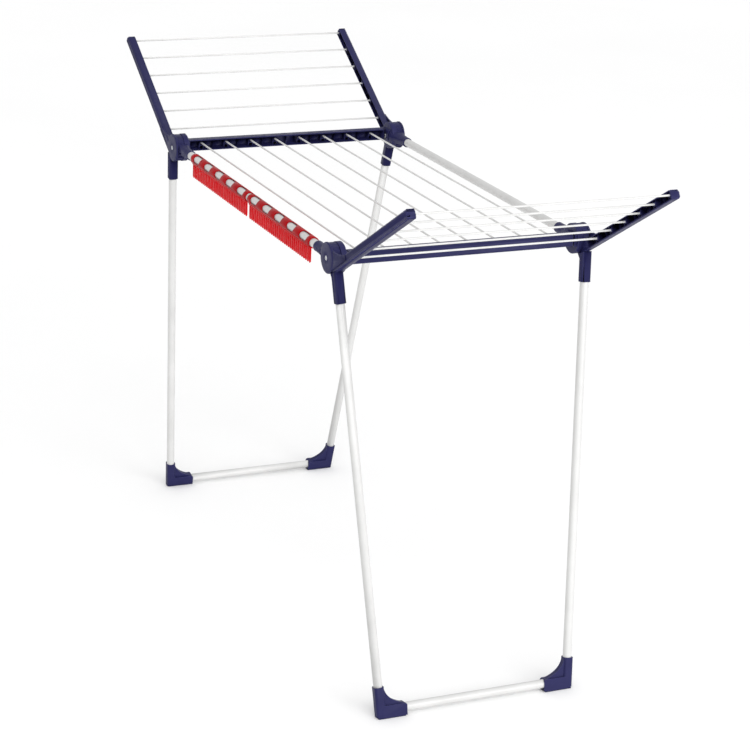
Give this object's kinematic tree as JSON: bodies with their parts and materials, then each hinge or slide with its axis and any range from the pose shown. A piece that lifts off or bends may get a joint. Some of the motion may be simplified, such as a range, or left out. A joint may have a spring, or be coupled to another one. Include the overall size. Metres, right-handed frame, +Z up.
{
  "type": "clothes drying rack",
  "caption": "Folding winged clothes drying rack: a rod frame on splayed tube legs, with raised rod wings and clip-on small-item holders.",
  "frame": {"origin": "on the floor under the middle of the open rack", "axes": "+X along the rack towards its near end, +Y across it towards its right side, +Z up"},
  "size_m": [1.6168, 0.5686, 1.092],
  "materials": {
    "navy_plastic": "moulded, satin",
    "white_tube": "powder coated, semi-gloss",
    "white_wire": "plastic coated, semi-gloss",
    "red_plastic": "moulded, glossy",
    "zinc_steel": "zinc plated"
  },
  "bodies": {
    "hanging_frame": {"side_rail_left": "white_tube", "side_rail_right": "white_tube", "cross_channel_far": "navy_plastic", "cross_channel_near": "navy_plastic", "corner_hub_far_left": "navy_plastic", "corner_hub_far_right": "navy_plastic", "corner_hub_near_left": "navy_plastic", "corner_hub_near_right": "navy_plastic", "pivot_rivet_far_left": "zinc_steel", "pivot_rivet_far_right": "zinc_steel", "pivot_rivet_near_left": "zinc_steel", "pivot_rivet_near_right": "zinc_steel", "frame_rod_1": "white_wire", "frame_rod_2": "white_wire", "frame_rod_3": "white_wire", "frame_rod_4": "white_wire", "frame_rod_5": "white_wire", "frame_rod_6": "white_wire", "frame_rod_7": "white_wire", "frame_rod_8": "white_wire"},
    "wing_far": {"wing_arm_far_left": "navy_plastic", "wing_arm_far_right": "navy_plastic", "wing_rod_far_1": "white_wire", "wing_rod_far_2": "white_wire", "wing_rod_far_3": "white_wire", "wing_rod_far_4": "white_wire", "wing_rod_far_5": "white_wire", "wing_rod_far_6": "white_wire"},
    "wing_near": {"wing_arm_near_left": "navy_plastic", "wing_arm_near_right": "navy_plastic", "wing_rod_near_1": "white_wire", "wing_rod_near_2": "white_wire", "wing_rod_near_3": "white_wire", "wing_rod_near_4": "white_wire", "wing_rod_near_5": "white_wire", "wing_rod_near_6": "white_wire"},
    "legs_far": {"leg_bracket_far_left": "navy_plastic", "leg_bracket_far_right": "navy_plastic", "leg_tube_far_left": "white_tube", "leg_tube_far_right": "white_tube", "floor_bar_far": "white_tube", "foot_far_left": "navy_plastic", "foot_far_right": "navy_plastic"},
    "legs_near": {"leg_bracket_near_left": "navy_plastic", "leg_bracket_near_right": "navy_plastic", "leg_tube_near_left": "white_tube", "leg_tube_near_right": "white_tube", "floor_bar_near": "white_tube", "foot_near_left": "navy_plastic", "foot_near_right": "navy_plastic"},
    "holder_far": {"small_item_holder_far": "red_plastic"},
    "holder_near": {"small_item_holder_near": "red_plastic"}
  },
  "joints": [
    {"name": "wing_far_hinge", "type": "hinge", "parent": "hanging_frame", "child": "wing_far", "pos_m": [-0.457, 0, 0.906], "axis": [0, 1, 0], "range_deg": [0, 145]},
    {"name": "wing_near_hinge", "type": "hinge", "parent": "hanging_frame", "child": "wing_near", "pos_m": [0.457, 0, 0.906], "axis": [0, -1, 0], "range_deg": [0, 145]},
    {"name": "legs_far_hinge", "type": "hinge", "parent": "hanging_frame", "child": "legs_far", "pos_m": [-0.457, 0, 0.906], "axis": [0, -1, 0], "range_deg": [0, 99]},
    {"name": "legs_near_hinge", "type": "hinge", "parent": "hanging_frame", "child": "legs_near", "pos_m": [0.457, 0, 0.906], "axis": [0, 1, 0], "range_deg": [0, 95]},
    {"name": "holder_far_hinge", "type": "hinge", "parent": "hanging_frame", "child": "holder_far", "pos_m": [-0.1755, -0.266, 0.906], "axis": [-1, 0, 0], "range_deg": [0, 88]},
    {"name": "holder_near_hinge", "type": "hinge", "parent": "hanging_frame", "child": "holder_near", "pos_m": [0.1805, -0.266, 0.906], "axis": [-1, 0, 0], "range_deg": [0, 88]}
  ],
  "couplings": [
    {"joint": "holder_far_hinge", "follows": "legs_far_hinge", "ratio": 0.888},
    {"joint": "holder_near_hinge", "follows": "legs_near_hinge", "ratio": 0.926}
  ]
}
